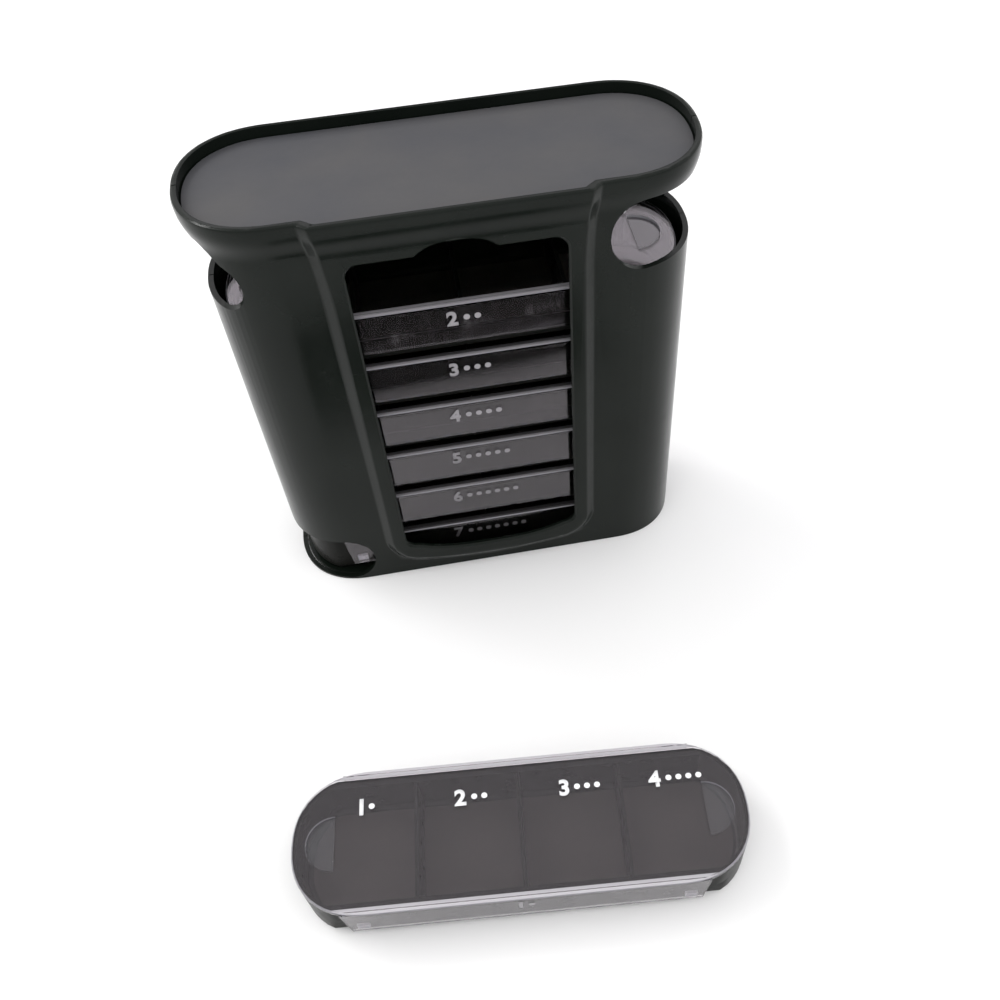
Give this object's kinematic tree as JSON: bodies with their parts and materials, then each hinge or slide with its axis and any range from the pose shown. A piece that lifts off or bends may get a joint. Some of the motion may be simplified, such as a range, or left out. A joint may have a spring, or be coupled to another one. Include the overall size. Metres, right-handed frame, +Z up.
{
  "type": "weekly pill box",
  "caption": "Upright pill dispenser: a tower with a front window holds stacked trays, each divided into compartments under a clear sliding lid; one tray lies in front.",
  "frame": {"origin": "centre of the tower's base, on its underside", "axes": "+X along the tower towards the end where trays are loaded, -Y the way the window looks, +Z up"},
  "size_m": [0.1275, 0.1669, 0.126],
  "materials": {
    "shell_plastic": "black, satin to glossy",
    "deck_plastic": "grey, flat",
    "tray_plastic": "black, smooth",
    "lid_plastic": "clear, lightly smoked plastic"
  },
  "bodies": {
    "tower": {"front_shell": "shell_plastic", "back_shell": "shell_plastic", "top_deck": "deck_plastic", "base_plate": "shell_plastic"},
    "sunday_tray": {"sunday_tray": "tray_plastic"},
    "sunday_lid": {"sunday_lid": "lid_plastic"},
    "tuesday_tray": {"tuesday_tray": "tray_plastic", "tuesday_lid": "lid_plastic"},
    "wednesday_tray": {"wednesday_tray": "tray_plastic", "wednesday_lid": "lid_plastic"},
    "thursday_tray": {"thursday_tray": "tray_plastic", "thursday_lid": "lid_plastic"},
    "friday_tray": {"friday_tray": "tray_plastic", "friday_lid": "lid_plastic"},
    "saturday_tray": {"saturday_tray": "tray_plastic", "saturday_lid": "lid_plastic"},
    "monday_tray": {"monday_tray": "tray_plastic"},
    "monday_lid": {"monday_lid": "lid_plastic"}
  },
  "joints": [
    {"name": "sunday_tray_exit_slide", "type": "slide", "parent": "tower", "child": "sunday_tray", "axis": [-1, 0, 0], "range_m": [0, 0.118]},
    {"name": "sunday_lid_slide", "type": "slide", "parent": "sunday_tray", "child": "sunday_lid", "axis": [-1, 0, 0], "range_m": [0, 0.078]},
    {"name": "saturday_tray_stack_slide", "type": "slide", "parent": "tower", "child": "saturday_tray", "axis": [0, 0, 1], "range_m": [0, 0.0161]},
    {"name": "friday_tray_stack_slide", "type": "slide", "parent": "tower", "child": "friday_tray", "axis": [0, 0, 1], "range_m": [0, 0.0161]},
    {"name": "thursday_tray_stack_slide", "type": "slide", "parent": "tower", "child": "thursday_tray", "axis": [0, 0, 1], "range_m": [0, 0.0161]},
    {"name": "wednesday_tray_stack_slide", "type": "slide", "parent": "tower", "child": "wednesday_tray", "axis": [0, 0, 1], "range_m": [0, 0.0161]},
    {"name": "tuesday_tray_stack_slide", "type": "slide", "parent": "tower", "child": "tuesday_tray", "axis": [0, 0, 1], "range_m": [0, 0.0161]},
    {"name": "monday_tray_lift", "type": "slide", "parent": "tower", "child": "monday_tray", "axis": [0, 0, 1], "range_m": [0, 0.1]},
    {"name": "monday_lid_slide", "type": "slide", "parent": "monday_tray", "child": "monday_lid", "axis": [0.9959, -0.0906, 0], "range_m": [-0.078, 0.078]}
  ],
  "couplings": [
    {"joint": "friday_tray_stack_slide", "follows": "saturday_tray_stack_slide", "ratio": 1},
    {"joint": "thursday_tray_stack_slide", "follows": "saturday_tray_stack_slide", "ratio": 1},
    {"joint": "wednesday_tray_stack_slide", "follows": "saturday_tray_stack_slide", "ratio": 1},
    {"joint": "tuesday_tray_stack_slide", "follows": "saturday_tray_stack_slide", "ratio": 1}
  ]
}
